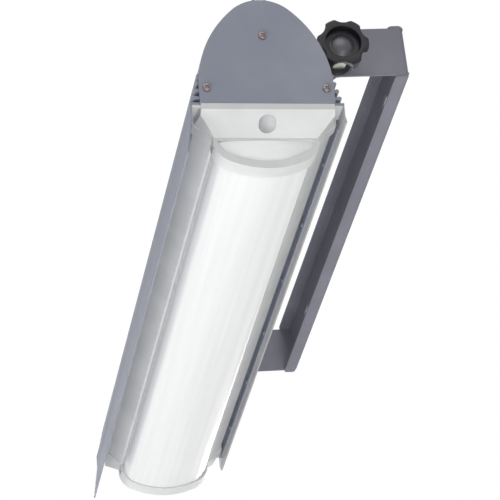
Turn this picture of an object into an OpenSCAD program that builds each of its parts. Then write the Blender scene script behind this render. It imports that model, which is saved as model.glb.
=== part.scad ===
// Outdoor wall light: a finned aluminium housing with an opal diffuser, held by
// two clamp knobs in a folded wall bracket. Millimetres, +Z up, wall plane at
// x = 0, length along y, origin at the middle of the bracket's back.

/* [Wall bracket] */
// Length of the bracket over the outer faces of its arms
bracket_len = 748; // [640:2:800]
// Height of the bracket over its flanges
bracket_h = 60; // [56:1:80]
// Thickness of the folded steel sheet
bracket_t = 2.5; // [2:0.1:3]
// Depth of the two long flanges, from the wall
flange_d = 15; // [10:0.5:18]
// Outer radius of the sheet's bends
bend_r = 5; // [4:0.5:6]
// Set-back of a flange's end behind the outer face of the arm beside it
arm_slit = 0.3; // [0.2:0.1:2]
// Distance of the tilt axis from the wall
pivot_out = 74.5; // [66:0.5:90]
// Height of the tilt axis against the middle of the bracket
pivot_rise = -10.6; // [-12:0.1:-6]
// Distance between the two wall slots
slot_spacing = 524; // [400:2:560]
// Length of a wall slot over its round ends
slot_len = 30; // [20:1:40]
// Width of a wall slot
slot_w = 9; // [6:0.5:11]

/* [Housing] */
// Length of the lamp over its two end plates
lamp_len = 918; // [860:2:960]
// Width of the arched section
arch_w = 135; // [130:0.5:140]
// Height of the arched section
arch_h = 117.5; // [115:0.5:120]
// Radius of the arch at its crown
crown_r = 42.5; // [40:0.5:44]
// Radius of the arch's long flanks
flank_r = 118; // [112:1:124]
// Wall of the extruded housing
wall = 3; // [2.5:0.1:3.5]
// Half width of the housing over its lower flange
rail_half_w = 77; // [75:0.5:79]
// Number of cooling fins on each side above the lower flange
fin_count = 4; // [2:1:4]
// Pitch of the cooling fins
fin_pitch = 8.2; // [7:0.1:8.6]
// Diameter of the round lip along each fin
fin_lip_d = 4.4; // [3.6:0.1:5]
// Thickness of a fin behind its lip
fin_neck = 3; // [2.4:0.1:3.4]
// How much shorter each fin is than the one below it
fin_step = 2; // [1.5:0.1:2.2]
// Depth of the lower side legs that carry the visors
leg_h = 12; // [10:0.5:14]
// Thickness of a side leg
leg_t = 1.4; // [1.2:0.1:2]
// Thickness of an end plate
plate_t = 3; // [2:0.5:4]
// Thickness of the gasket behind an end plate
gasket_t = 1; // [0.5:0.1:1.5]
// Opening of the groove along the crown
groove_w = 9; // [7:0.5:10]
// Inner width of the groove along the crown
groove_inner_w = 14; // [12:0.5:15]

/* [Tray and diffuser] */
// Half width of the moulded tray between the side legs
tray_half_w = 69.5; // [68:0.5:70]
// Straight height of the tray's sides
tray_side_h = 8; // [6:0.5:9]
// Half width at the lower edge of the tray's sloping skirts
skirt_half_w = 53; // [52.5:0.25:54]
// Depth of the skirts' lower edge below the housing
skirt_h = 25; // [23:0.5:26]
// Wall of the moulded tray
tray_t = 2.5; // [2:0.1:3]
// Half width of the opal diffuser
diffuser_half_w = 50; // [48:0.5:51]
// Depth of the diffuser's lowest line below the housing
diffuser_h = 56.5; // [54:0.5:57]
// Wall of the opal diffuser
diffuser_t = 2.5; // [2:0.1:3]
// Radius of the diffuser's wide bottom curve
diffuser_r = 90; // [80:1:100]
// Radius of the diffuser's lower corners
diffuser_corner_r = 22; // [18:1:24]
// Length of a moulded end cap along the lamp
cap_len = 47; // [44:0.5:52]
// Length of the cap's sloping face along the lamp
cap_slope_len = 26; // [22:0.5:30]
// Height of the cap's upright front band
cap_band_h = 6.5; // [5:0.5:8]
// How far the cap's ring stands proud of the diffuser
collar_proud = 1.7; // [1:0.1:2.5]
// Width of the thumb recess in the cap's face
recess_w = 17.5; // [14:0.5:18]
// Length of the thumb recess along the cap's face
recess_len = 21; // [19:0.5:23]
// Depth of the thumb recess
recess_depth = 5; // [3:0.5:6]

/* [Visors] */
// Thickness of the visor sheets
visor_t = 1.5; // [1:0.1:2]
// Depth of the tall front visor below the housing
front_visor_h = 52; // [30:1:60]
// Flare of the front visor at its lower edge
front_visor_flare = 6; // [2:0.5:10]
// Depth of the short wall-side visor below the housing
rear_visor_h = 18; // [14:1:24]
// Flare of the wall-side visor at its lower edge
rear_visor_flare = 1.5; // [0:0.5:3]

/* [Clamp knobs] */
// Diameter over the knob's lobes
knob_d = 54; // [50:0.2:58]
// Number of lobes
knob_lobes = 6; // [5:1:8]
// Depth of the valleys between the lobes at the front
knob_valley = 3.7; // [2:0.1:4]
// Angle at which the valleys deepen towards the back
knob_valley_slope = 27; // [0:1:28]
// Thickness of the knob's rim
knob_t = 16; // [14:0.5:18]
// Diameter of the round recess in the knob's face
knob_recess_d = 35; // [30:0.5:36]
// Depth of that recess
knob_recess_depth = 8; // [5:0.5:10]
// Diameter of the clamp stud
stud_d = 12; // [10:0.5:14]
// Length of the hexagon spacer behind the knob
hex_len = 22; // [12:0.5:26]
// Size of the hexagon spacer across its flats
hex_af = 21; // [19:0.5:24]
// Diameter of the outer friction washer
washer_d = 31; // [28:0.5:32]
// Thickness of the outer friction washer
washer_t = 4; // [3:0.5:5]
// Angle of the lamp in its bracket as it is shown
head_tilt = 2.3; // [0:0.1:5]

/* [Light source] */
// Width of an LED board
board_w = 60; // [50:1:70]
// Emitters along one board
emitter_count = 11; // [6:1:14]
// Length of the LED driver
driver_len = 280; // [200:5:320]
// Width of the LED driver
driver_w = 60; // [50:1:64]
// Height of the LED driver
driver_h = 32; // [24:1:36]

/* [Hidden] */

// Overrun of every cut past the face that it leaves
over = 1;
// Radial play of a shaft that turns in a bore
run_play = 0.05;
// Radial play of a screw or stud in a clearance hole
hole_play = 0.3;
// Gap between pieces that are pushed together
seat_gap = 0.2;

// Ends of the lamp's pieces along y
lamp_half = lamp_len / 2;
plate_in = lamp_half - plate_t;
housing_half = plate_in - gasket_t;

// Arch: the flank arcs' centres and height, and the height where crown and flanks meet
flank_cx = flank_r - arch_w / 2;
flank_cz = arch_h - crown_r - sqrt(pow(flank_r - crown_r, 2) - pow(flank_cx, 2));
crown_cz = arch_h - crown_r;
arch_split = crown_cz + crown_r * (crown_cz - flank_cz) / (flank_r - crown_r);

// Side walls behind the fins, and the top of the finned part
side_inset = 8;
rail_reach = 17.5;
side_in = min(arch_w / 2 - side_inset, rail_half_w - rail_reach);
side_out = side_in + wall;
fins_top = fin_count * fin_pitch + fin_pitch / 2;
lip_reach = 5.5;
lip_in = side_in - lip_reach;
leg_out = rail_half_w - visor_t;
leg_in = leg_out - leg_t;

// Screw ports of the end plates: the crown port and the two side ports
port_d = 9;
port_hole_d = 4.1;
crown_port_drop = 40.9;
crown_port_z = arch_h - crown_port_drop;
side_port_reach = 0.5;
side_port_x = side_in + side_port_reach;
side_port_z = 17.3;

// Crown groove block
groove_block_w = 22;
groove_block_h = 12;
groove_depth = 5;
groove_lip = 2.2;
ridge_w = 2.4;
ridge_h = 2.6;

// End plate screws
plate_screw_d = 4;
plate_screw_head_d = 8.8;
plate_screw_head_h = 2.6;
plate_screw_len = 16;
cross_len_share = 0.55;
cross_w_share = 0.13;
cross_depth_share = 0.5;
plate_edge_bevel = 1.2;

// Tilt axis in the lamp's own section, which has its origin under the arch
pivot_reach = 23.5;
pivot_drop = 22.2;
pivot_x = arch_w / 2 + pivot_reach;
pivot_z = arch_h - pivot_drop;

// Clamp stack along y, measured outward from an arm's outer face
arm_y = bracket_len / 2;
knob_back = washer_t + hex_len;
knob_front = knob_back + knob_t;
arm_tail = 20;
arm_round = 26;
arm_round_low = 12;
arm_gap = 0.3;
flange_corner_r = 4;

// Pivot lug: plate, saddle foot and boss
inner_washer_t = 1.5;
inner_washer_d = 26;
lug_t = 4;
lug_head_r = 14;
lug_foot_t = 5;
lug_foot_w = 34;
lug_boss_d = 18;
lug_boss_len = 8;
lug_foot_drop = 57.5;
lug_low_z = arch_h - lug_foot_drop;
lug_over_crown = 11;
lug_y = arm_y - bracket_t - inner_washer_t - lug_t;
lug_screw_d = 6;
lug_screw_head_d = 11;
lug_screw_head_h = 4;
lug_screw_drop = 43.5;
lug_screw_z = arch_h - lug_screw_drop;
slide_nut_len = 26;

// Stud ends
stud_in_knob = 6;
stud_past_boss = 3;

// Hub and dome inside the knob
knob_scallop_r = 9;
knob_dome_d = 25;
knob_dome_h = 4;
knob_rim_bevel = 1.5;

// Tray, gaskets and screws
tray_floor_z = -1.5;
tray_gasket_w = 10;
tray_len = lamp_len - 2 * cap_len;
skirt_lip = 3;
tray_screw_d = 4;
tray_screw_head_d = 8;
tray_screw_head_h = 2.6;
tray_screw_inset = 7.5;
tray_screw_x = tray_half_w - tray_screw_inset;
tray_screw_rows = 4;

// End cap details
cap_front_taper = 3;
cap_flank_inset = 1.7;
cap_wall = 4;
cap_ledge_t = 1.2;
cap_shoulder_y = 31;
cap_shoulder_gap = 1.2;
cap_shoulder_h = 7.5;
cap_shoulder_proud = 0.6;
ring_side_w = 1;
ring_low_h = 6.5;
ring_curve = 5;
window_half_w = diffuser_half_w - ring_side_w;
window_h = diffuser_h - ring_low_h;
window_r = diffuser_r - ring_curve;
window_corner_r = diffuser_corner_r - ring_side_w;
window_top_r = 5;
latch_w = 4;
latch_h = 13;
cap_slope_a = atan2(skirt_h - cap_band_h, cap_slope_len);
dome_r = 340;
diffuser_end_t = 3;
diffuser_top_z = -8;

// Visors and their rivets
visor_inset = 4.2;
rivet_d = 3;
rivet_head_d = 5.5;
rivet_head_h = 1.3;
rivet_z = -7;
rivet_count = 6;

// Inner pieces
gear_plate_t = 1.5;
gear_plate_inset = 9.5;
gear_plate_w = 2 * (side_in - gear_plate_inset);
driver_y = 120;
driver_corner = 4;
driver_lug_len = 10;
driver_lug_t = 3;
terminal_y = -150;
terminal_w = 30;
terminal_len = 46;
terminal_h = 20;
terminal_ways = 5;
board_t = 1.6;
board_gap = 8;
board_end_gap = 8;
board_len = (tray_len - board_gap) / 2 - board_end_gap;
emitter = 3.5;
emitter_h = 0.9;
emitter_row_share = 0.28;
small_screw_d = 3;
small_screw_head_d = 5.5;
small_screw_head_h = 1.8;

// Cable gland in the far end plate
gland_drop = 72.5;
gland_z = arch_h - gland_drop;
gland_d = 20;
gland_af = 24;
gland_hex_len = 6;
gland_neck_len = 9;
gland_nut_len = 15;
gland_nut_d = 23;
gland_bore = 11;
gland_thread_in = 9;
gland_lock_t = 5;

arc_fine = 96;

// Draws a flat x-z shape as a bar from y0 to y1
module along_y(y0, y1) {
    translate([0, y1, 0]) rotate([90, 0, 0]) linear_extrude(y1 - y0) children();
}

// Places pieces drawn in the lamp's own section at the lamp's angle in the bracket
module on_head() {
    translate([-pivot_out, 0, pivot_rise]) rotate([0, head_tilt, 0])
        translate([-pivot_x, 0, -pivot_z]) children();
}

// Turns a piece of the near end into one of the far end
module at_end(far) {
    if (far) mirror([0, 1, 0]) children();
    else children();
}

// Rod along y from y0 to y1 at a place in the x-z plane
module rod_y(d, x, z, y0, y1) {
    translate([x, y1, z]) rotate([90, 0, 0]) cylinder(d = d, h = y1 - y0, $fn = arc_fine);
}

// Half plane strip used to clip a section
module strip(z0, z1) {
    translate([-lamp_len, z0]) square([2 * lamp_len, z1 - z0]);
}

// Arched section, drawn inside the true outline by the given inset
module arch_2d(inset = 0, floor_z = 0) {
    union() {
        intersection() {
            translate([flank_cx, flank_cz]) circle(r = flank_r - inset, $fn = 2 * arc_fine);
            translate([-flank_cx, flank_cz]) circle(r = flank_r - inset, $fn = 2 * arc_fine);
            strip(max(flank_cz, floor_z), arch_split);
        }
        intersection() {
            translate([0, crown_cz]) circle(r = crown_r - inset, $fn = 2 * arc_fine);
            strip(arch_split, arch_h + over);
        }
        if (flank_cz > floor_z) translate([-(arch_w / 2 - inset), floor_z])
            square([arch_w - 2 * inset, flank_cz - floor_z]);
    }
}

// Trough section: straight sides, round lower corners and a wide bottom curve
module trough_2d(half_w, top_z, depth, bottom_r, corner_r) {
    cx = half_w - corner_r;
    bz = bottom_r - depth;
    cz = bz - sqrt(pow(bottom_r - corner_r, 2) - pow(cx, 2));
    reach = (bottom_r + corner_r) / (bottom_r - corner_r);
    intersection() {
        union() {
            translate([-half_w, cz]) square([2 * half_w, top_z - cz]);
            for (side = [-1, 1])
                translate([side * cx, cz]) circle(r = corner_r, $fn = arc_fine);
            intersection() {
                translate([0, bz]) circle(r = bottom_r, $fn = 2 * arc_fine);
                polygon([[0, bz], [-cx * reach, bz - (bz - cz) * reach],
                         [cx * reach, bz - (bz - cz) * reach]]);
            }
        }
        strip(-bottom_r, top_z);
    }
}

// Quarter ring of a sheet bend, its corner at the origin and its legs along -x and -z
module bend_2d(r, t) {
    intersection() {
        translate([-r, -r]) difference() {
            circle(r = r, $fn = arc_fine);
            circle(r = r - t, $fn = arc_fine);
        }
        translate([-r, -r]) square(r);
    }
}

// Cross-recessed pan head screw along +y from its seat, the head on the -y side
module pan_screw_y(d, len, head_d, head_h) {
    rod_y(d, 0, 0, 0, len);
    difference() {
        intersection() {
            rod_y(head_d, 0, 0, -head_h, 0);
            translate([0, head_d - head_h, 0]) sphere(r = head_d, $fn = arc_fine);
        }
        for (turn = [0, 90]) rotate([0, turn + 45, 0])
            translate([-head_d * cross_len_share / 2, -head_h - over, -head_d * cross_w_share / 2])
                cube([head_d * cross_len_share, over + head_h * cross_depth_share,
                      head_d * cross_w_share]);
    }
}

// Folded bracket

// Web between the arms' bends and two flanges that run on over the arms' edges
module bracket_channel() {
    half = bracket_h / 2;
    web_end = arm_y - bend_r;
    flange_end = arm_y - arm_slit;
    along_y(-web_end, web_end)
        translate([-bracket_t, -half + bend_r]) square([bracket_t, bracket_h - 2 * bend_r]);
    intersection() {
        along_y(-flange_end, flange_end) for (side = [0, 1]) mirror([0, side]) {
            translate([-flange_d, half - bracket_t]) square([flange_d - bend_r, bracket_t]);
            translate([0, half]) bend_2d(bend_r, bracket_t);
        }
        translate([0, 0, -half]) linear_extrude(bracket_h) flange_plan_2d(flange_end);
    }
}

// Plan of a flange, its free corners rounded
module flange_plan_2d(flange_end) {
    translate([-flange_d + flange_corner_r, -flange_end])
        square([flange_d - flange_corner_r, 2 * flange_end]);
    translate([-flange_d, -flange_end + flange_corner_r])
        square([flange_corner_r, 2 * (flange_end - flange_corner_r)]);
    for (side = [-1, 1])
        translate([-flange_d + flange_corner_r, side * (flange_end - flange_corner_r)])
            circle(r = flange_corner_r, $fn = arc_fine);
}

module bracket_arms() {
    half = bracket_h / 2 - bracket_t - arm_gap;
    reach = pivot_out + arm_tail;
    intersection() {
        translate([0, 0, -half]) linear_extrude(2 * half) {
            translate([-bracket_t, -arm_y + bend_r]) square([bracket_t, bracket_len - 2 * bend_r]);
            for (side = [0, 1]) mirror([0, side]) {
                translate([0, arm_y]) bend_2d(bend_r, bracket_t);
                translate([-reach, arm_y - bracket_t]) square([reach - bend_r, bracket_t]);
            }
        }
        along_y(-arm_y - over, arm_y + over) arm_outline_2d(half, reach);
    }
}

module arm_outline_2d(half, reach) {
    translate([-reach + arm_round, -half]) square([reach - arm_round + over, 2 * half]);
    translate([-reach, -half + arm_round_low])
        square([arm_round + over, 2 * half - arm_round - arm_round_low]);
    translate([-reach + arm_round_low, -half]) square([arm_round, arm_round]);
    translate([-reach + arm_round, half - arm_round]) circle(r = arm_round, $fn = arc_fine);
    translate([-reach + arm_round_low, -half + arm_round_low])
        circle(r = arm_round_low, $fn = arc_fine);
}

module wall_bracket() {
    color("#7b7d86") difference() {
        union() {
            bracket_channel();
            bracket_arms();
        }
        for (side = [-1, 1]) {
            translate([0, side * arm_y, 0])
                rod_y(stud_d + 2 * hole_play, -pivot_out, pivot_rise, -2 * bend_r, 2 * bend_r);
            for (end = [-1, 1])
                translate([over, side * slot_spacing / 2 + end * (slot_len - slot_w) / 2, 0])
                    rotate([0, -90, 0]) cylinder(d = slot_w, h = 2 * over + bracket_t, $fn = arc_fine);
            translate([-bracket_t - over, side * slot_spacing / 2 - (slot_len - slot_w) / 2, -slot_w / 2])
                cube([2 * over + bracket_t, slot_len - slot_w, slot_w]);
        }
    }
}

// Clamp knobs, drawn at the near arm

module outer_washer() {
    color("#232427") difference() {
        rod_y(washer_d, -pivot_out, pivot_rise, -arm_y - washer_t, -arm_y);
        rod_y(stud_d + 2 * hole_play, -pivot_out, pivot_rise, -arm_y - washer_t - over, -arm_y + over);
    }
}

// Rim of the knob as a turned body with bevelled edges
module knob_rim() {
    r = knob_d / 2;
    b = knob_rim_bevel;
    rotate([-90, 0, 0]) rotate_extrude($fn = 2 * arc_fine)
        polygon([[0, 0], [r - b, 0], [r, b], [r, knob_t - b], [r - b, knob_t], [0, knob_t]]);
}

// Valleys between the lobes, each cut along a line that leans in towards the back
module knob_valleys() {
    for (i = [0:knob_lobes - 1]) rotate([0, (i + 0.5) * 360 / knob_lobes, 0])
        translate([knob_d / 2 - knob_valley + knob_scallop_r, 0, 0]) rotate([0, 0, knob_valley_slope])
            rotate([-90, 0, 0]) translate([0, 0, -knob_scallop_r])
                cylinder(r = knob_scallop_r, h = 2 * (knob_t + knob_scallop_r), $fn = arc_fine);
}

module knob() {
    front = -arm_y - knob_front;
    color("#2a2b2e") translate([-pivot_out, front, pivot_rise]) {
        difference() {
            knob_rim();
            knob_valleys();
            rod_y(knob_recess_d, 0, 0, -over, knob_recess_depth);
            rod_y(stud_d, 0, 0, knob_t - stud_in_knob, knob_t + over);
        }
        intersection() {
            translate([0, knob_recess_depth - knob_dome_h + dome_ball(), 0])
                sphere(r = dome_ball(), $fn = 2 * arc_fine);
            rod_y(knob_dome_d, 0, 0, 0, knob_recess_depth + over);
        }
    }
}

// Radius of the ball whose cap has the knob dome's width and height
function dome_ball() = (pow(knob_dome_d / 2, 2) + pow(knob_dome_h, 2)) / (2 * knob_dome_h);

module hex_spacer() {
    y0 = -arm_y - knob_back;
    color("#c9cbc6") translate([-pivot_out, 0, pivot_rise]) difference() {
        intersection() {
            along_y(y0, y0 + hex_len) rotate(30) circle(d = hex_af / cos(30), $fn = 6);
            rod_y(hex_af / cos(30) - 1 * seat_gap, 0, 0, y0, y0 + hex_len);
        }
        rod_y(stud_d, 0, 0, y0 - over, y0 + hex_len + over);
    }
}

module clamp_stud() {
    y0 = -arm_y - knob_back - stud_in_knob;
    y1 = -lug_y + lug_boss_len + stud_past_boss;
    color("#b9bbb8") rod_y(stud_d, -pivot_out, pivot_rise, y0, y1);
}

// Pivot lugs on the housing, drawn at the near end

module lug_foot_2d() {
    intersection() {
        difference() {
            arch_2d(-lug_foot_t);
            arch_2d(-seat_gap);
            translate([-groove_block_w / 2 - over, arch_h - 2 * ridge_h - over])
                square([groove_w / 2 + ridge_w + seat_gap + groove_block_w / 2 + over,
                        2 * ridge_h + over + ridge_h + seat_gap]);
        }
        translate([-lug_over_crown, lug_low_z]) square([arch_w, arch_h]);
    }
}

module lug_plate_2d() {
    difference() {
        union() {
            translate([pivot_x, pivot_z]) circle(r = lug_head_r, $fn = arc_fine);
            polygon([[pivot_x, pivot_z + lug_head_r], [pivot_x, pivot_z - lug_head_r],
                     [arch_w / 2 - wall, lug_low_z], [arch_w / 4, lug_low_z],
                     [groove_block_w, crown_cz], [groove_block_w, arch_h - wall]]);
        }
        arch_2d(-lug_foot_t / 2);
    }
}

module pivot_lug() {
    y0 = -lug_y - lug_t;
    color("#77797f") on_head() difference() {
        union() {
            along_y(y0, y0 + lug_t) lug_plate_2d();
            along_y(y0, y0 + lug_foot_w) lug_foot_2d();
            rod_y(lug_boss_d, pivot_x, pivot_z, y0 + lug_t / 2, -lug_y + lug_boss_len);
        }
        rod_y(stud_d + 2 * run_play, pivot_x, pivot_z, y0 - over, -lug_y + lug_boss_len + over);
        lug_screw_place(0) cylinder(d = lug_screw_d + 2 * hole_play, h = 4 * lug_foot_t, center = true,
                                    $fn = arc_fine);
        lug_screw_place(1) cylinder(d = lug_screw_d + 2 * hole_play, h = 4 * lug_foot_t, center = true,
                                    $fn = arc_fine);
    }
}

// Places a lug screw, pointing along +z away from the housing: 0 at the crown, 1 on the flank
module lug_screw_place(spot) {
    y0 = -lug_y + (lug_foot_w - lug_t) / 2;
    flank_a = asin((lug_screw_z - flank_cz) / flank_r);
    if (spot == 0) translate([0, y0, arch_h + ridge_h + seat_gap]) children();
    else translate([-flank_cx + (flank_r + seat_gap) * cos(flank_a), y0,
                    flank_cz + (flank_r + seat_gap) * sin(flank_a)])
        rotate([0, 90 - flank_a, 0]) children();
}

module lug_screws() {
    crown_len = lug_foot_t + groove_lip + groove_depth - seat_gap;
    color("#b9bbb8") on_head() for (spot = [0, 1]) lug_screw_place(spot) {
        seat = spot == 0 ? lug_foot_t - ridge_h - seat_gap : lug_foot_t - seat_gap;
        len = spot == 0 ? crown_len : lug_foot_t + 2 * wall;
        translate([0, 0, seat]) difference() {
            cylinder(d = lug_screw_head_d, h = lug_screw_head_h, $fn = arc_fine);
            translate([0, 0, lug_screw_head_h / 2])
                cylinder(d = lug_screw_d, h = lug_screw_head_h, $fn = 6);
        }
        translate([0, 0, seat - len]) cylinder(d = lug_screw_d, h = len, $fn = arc_fine);
    }
}

module slide_nut() {
    y0 = -lug_y + (lug_foot_w - lug_t) / 2;
    z1 = arch_h - groove_lip;
    color("#b9bbb8") on_head() difference() {
        translate([-groove_inner_w / 2 + seat_gap, y0 - slide_nut_len / 2, z1 - groove_depth + seat_gap])
            cube([groove_inner_w - 2 * seat_gap, slide_nut_len, groove_depth - seat_gap]);
        translate([0, y0, z1 - groove_depth]) cylinder(d = lug_screw_d, h = 2 * groove_depth, $fn = arc_fine);
    }
}

module inner_washer() {
    y1 = -lug_y - lug_t;
    color("#232427") on_head() difference() {
        rod_y(inner_washer_d, pivot_x, pivot_z, y1 - inner_washer_t, y1);
        rod_y(stud_d + 2 * hole_play, pivot_x, pivot_z, y1 - inner_washer_t - over, y1 + over);
    }
}

// Extruded housing and its end plates

module fin_2d(level) {
    tip = rail_half_w - level * fin_step;
    z = level * fin_pitch;
    translate([side_out - wall / 2, z - fin_neck / 2])
        square([tip - fin_lip_d / 2 - side_out + wall / 2, fin_neck]);
    translate([tip - fin_lip_d / 2, z]) circle(d = fin_lip_d, $fn = arc_fine / 2);
}

module housing_side_2d() {
    translate([side_in, 0]) square([wall, fins_top]);
    translate([side_in, fins_top - wall]) square([arch_w / 2 - wall / 2 - side_in, wall]);
    translate([lip_in, 0]) square([rail_half_w - lip_in, wall]);
    translate([leg_in, -leg_h]) square([leg_t, leg_h + wall / 2]);
    translate([side_port_x, side_port_z]) circle(d = port_d, $fn = arc_fine / 2);
    for (level = [1:fin_count]) fin_2d(level);
}

module housing_2d() {
    difference() {
        union() {
            intersection() {
                difference() {
                    arch_2d();
                    arch_2d(wall, -over);
                }
                strip(fins_top - wall, arch_h + over);
            }
            for (side = [0, 1]) mirror([side, 0]) housing_side_2d();
            intersection() {
                arch_2d(wall / 2);
                translate([-groove_block_w / 2, arch_h - groove_block_h])
                    square([groove_block_w, groove_block_h]);
            }
            for (side = [-1, 1])
                translate([side * (groove_w / 2 + ridge_w / 2) - ridge_w / 2, arch_h - wall])
                    square([ridge_w, wall + ridge_h]);
            translate([-wall / 2, crown_port_z]) square([wall, arch_h - groove_block_h - crown_port_z + over]);
            translate([0, crown_port_z]) circle(d = port_d, $fn = arc_fine / 2);
        }
        translate([-groove_w / 2, arch_h - groove_depth]) square([groove_w, groove_depth + 2 * ridge_h]);
        translate([-groove_inner_w / 2, arch_h - groove_lip - groove_depth])
            square([groove_inner_w, groove_depth]);
        screw_ports_2d(port_hole_d);
    }
}

module screw_ports_2d(d) {
    translate([0, crown_port_z]) circle(d = d, $fn = arc_fine / 2);
    for (side = [-1, 1]) translate([side * side_port_x, side_port_z]) circle(d = d, $fn = arc_fine / 2);
}

module housing_extrusion() {
    color("#8b90a0") on_head() difference() {
        along_y(-housing_half, housing_half) housing_2d();
        for (end = [-1, 1]) mirror([0, end == 1 ? 1 : 0, 0]) {
            lug_screw_place(1) translate([0, 0, -2 * wall])
                cylinder(d = lug_screw_d + 2 * run_play, h = 3 * wall, $fn = arc_fine);
        }
        tray_screw_holes(tray_screw_d + 2 * run_play, -over, 2 * wall);
        for (side = [0, 1]) mirror([side, 0, 0]) rivet_shanks(rivet_d + 2 * run_play, over);
        for (side = [-1, 1], end = [-1, 1])
            translate([side * rail_half_w, end * (lamp_half - cap_shoulder_y / 2), -leg_h / 2 - over / 2])
                cube([2 * (rail_half_w - leg_in) + over, cap_shoulder_y, leg_h + over], center = true);
    }
}

module end_gasket() {
    color("#232427") on_head() along_y(-plate_in, -housing_half) difference() {
        arch_2d(seat_gap);
        arch_2d(2 * wall, side_port_z / 4);
        screw_ports_2d(plate_screw_d + 2 * hole_play);
    }
}

module end_plate(gland) {
    color("#8b90a0") on_head() difference() {
        along_y(-lamp_half, -plate_in) difference() {
            arch_2d();
            screw_ports_2d(plate_screw_d + 2 * hole_play);
            if (gland) translate([0, gland_z]) circle(d = gland_d + 2 * hole_play, $fn = arc_fine);
        }
        translate([0, -lamp_half, 0]) rotate([45, 0, 0])
            cube([2 * arch_w, plate_edge_bevel * sqrt(2), plate_edge_bevel * sqrt(2)], center = true);
    }
}

module plate_screws() {
    color("#c2b6b8") on_head() translate([0, -lamp_half, 0]) {
        translate([0, 0, crown_port_z])
            pan_screw_y(plate_screw_d, plate_screw_len, plate_screw_head_d, plate_screw_head_h);
        for (side = [-1, 1]) translate([side * side_port_x, 0, side_port_z])
            pan_screw_y(plate_screw_d, plate_screw_len, plate_screw_head_d, plate_screw_head_h);
    }
}

// Tray, end caps and diffuser

// Tray section: floor, straight sides and sloping skirts with an inward lip
module tray_2d() {
    low = -skirt_h;
    run = tray_half_w - skirt_half_w;
    lip_x = skirt_half_w - skirt_lip + seat_gap;
    half = [
        [tray_half_w, tray_floor_z], [tray_half_w, -tray_side_h], [skirt_half_w, low], [lip_x, low],
        [lip_x, low + tray_t], [skirt_half_w - tray_t / 2, low + tray_t],
        [tray_half_w - tray_t, -tray_side_h - (skirt_h - tray_side_h) * (tray_t / run) / 2],
        [tray_half_w - tray_t, tray_floor_z - tray_t]
    ];
    polygon(concat(half, [for (i = [len(half) - 1:-1:0]) [-half[i][0], half[i][1]]]));
}

module tray() {
    color("#cfd0d0") on_head() difference() {
        along_y(-tray_len / 2, tray_len / 2) tray_2d();
        tray_screw_holes(tray_screw_d + 2 * hole_play, tray_floor_z - 2 * tray_t, over);
        small_screw_holes(board_screw_spots(), tray_floor_z - tray_t, 2 * tray_t);
    }
}

module tray_gasket() {
    half_y = tray_len / 2 - tray_t;
    w = tray_gasket_w;
    color("#232427") on_head() difference() {
        translate([0, 0, tray_floor_z / 2])
            cube([2 * tray_half_w, 2 * half_y, -tray_floor_z], center = true);
        translate([0, 0, tray_floor_z / 2])
            cube([2 * (tray_half_w - w), 2 * (half_y - w), 2 * over - tray_floor_z], center = true);
        tray_screw_holes(tray_screw_d + 2 * hole_play, tray_floor_z - over, over);
    }
}

function tray_screw_spots() = [
    for (side = [-1, 1], i = [0:tray_screw_rows - 1])
        [side * tray_screw_x, tray_len * ((i + 0.5) / tray_screw_rows - 0.5)]
];

module tray_screw_holes(d, z0, z1) {
    for (p = tray_screw_spots()) translate([p[0], p[1], z0]) cylinder(d = d, h = z1 - z0, $fn = arc_fine / 2);
}

module tray_screws() {
    seat = tray_floor_z - tray_t;
    color("#c4c6c2") on_head() for (p = tray_screw_spots()) translate([p[0], p[1], seat]) {
        cylinder(d = tray_screw_d, h = tray_t - tray_floor_z + wall, $fn = arc_fine / 2);
        translate([0, 0, -tray_screw_head_h])
            cylinder(d = tray_screw_head_d, h = tray_screw_head_h, $fn = arc_fine / 2);
    }
}

// Outline of an end cap across the lamp: side walls, skirts in line with the tray's, and the ring
module cap_outline_2d() {
    polygon([
        [-tray_half_w, 0], [-tray_half_w, -tray_side_h], [-skirt_half_w, -skirt_h],
        [skirt_half_w, -skirt_h], [tray_half_w, -tray_side_h], [tray_half_w, 0]
    ]);
    trough_2d(diffuser_half_w + 2 * collar_proud, -tray_side_h, diffuser_h + collar_proud,
              diffuser_r + collar_proud, diffuser_corner_r + collar_proud);
}

// Side view of an end cap, y to the right from the end of the lamp and z up
module cap_profile_2d() {
    deep = diffuser_h + collar_proud + over;
    polygon([
        [0, 0], [0, -cap_band_h], [cap_slope_len, -skirt_h], [cap_slope_len, -deep],
        [cap_len, -deep], [cap_len, 0]
    ]);
}

// Plan of an end cap, which widens from the front band to the skirts
module cap_plan_2d() {
    w0 = tray_half_w - cap_front_taper;
    polygon([
        [-w0, 0], [-tray_half_w, cap_slope_len], [-tray_half_w, cap_len],
        [tray_half_w, cap_len], [tray_half_w, cap_slope_len], [w0, 0]
    ]);
}

module cap_body() {
    deep = diffuser_h + collar_proud + 2 * over;
    intersection() {
        along_y(0, cap_len) cap_outline_2d();
        rotate([90, 0, 90]) translate([0, 0, -arch_w])
            linear_extrude(2 * arch_w) cap_profile_2d();
        translate([0, 0, -deep]) linear_extrude(deep) cap_plan_2d();
        cap_face_trim();
    }
    cap_shoulders();
    along_y(plate_t + gasket_t, cap_shoulder_y + over)
        translate([-(leg_out - seat_gap), -cap_ledge_t]) square([2 * (leg_out - seat_gap), cap_ledge_t]);
}

// Keeps the cap's sloping face as wide as its tapered sides allow
module cap_face_trim() {
    low_w = skirt_half_w - cap_flank_inset;
    deep = diffuser_h + collar_proud + 2 * over;
    union() {
        along_y(cap_slope_len - seat_gap, cap_len + over) translate([-arch_w, -deep])
            square([2 * arch_w, 2 * deep]);
        along_y(-over, cap_slope_len) polygon([
            [-tray_half_w, over], [-tray_half_w, -cap_band_h - cap_flank_inset],
            [-low_w, -skirt_h], [-low_w, -deep], [low_w, -deep], [low_w, -skirt_h],
            [tray_half_w, -cap_band_h - cap_flank_inset], [tray_half_w, over]
        ]);
    }
}

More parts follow.
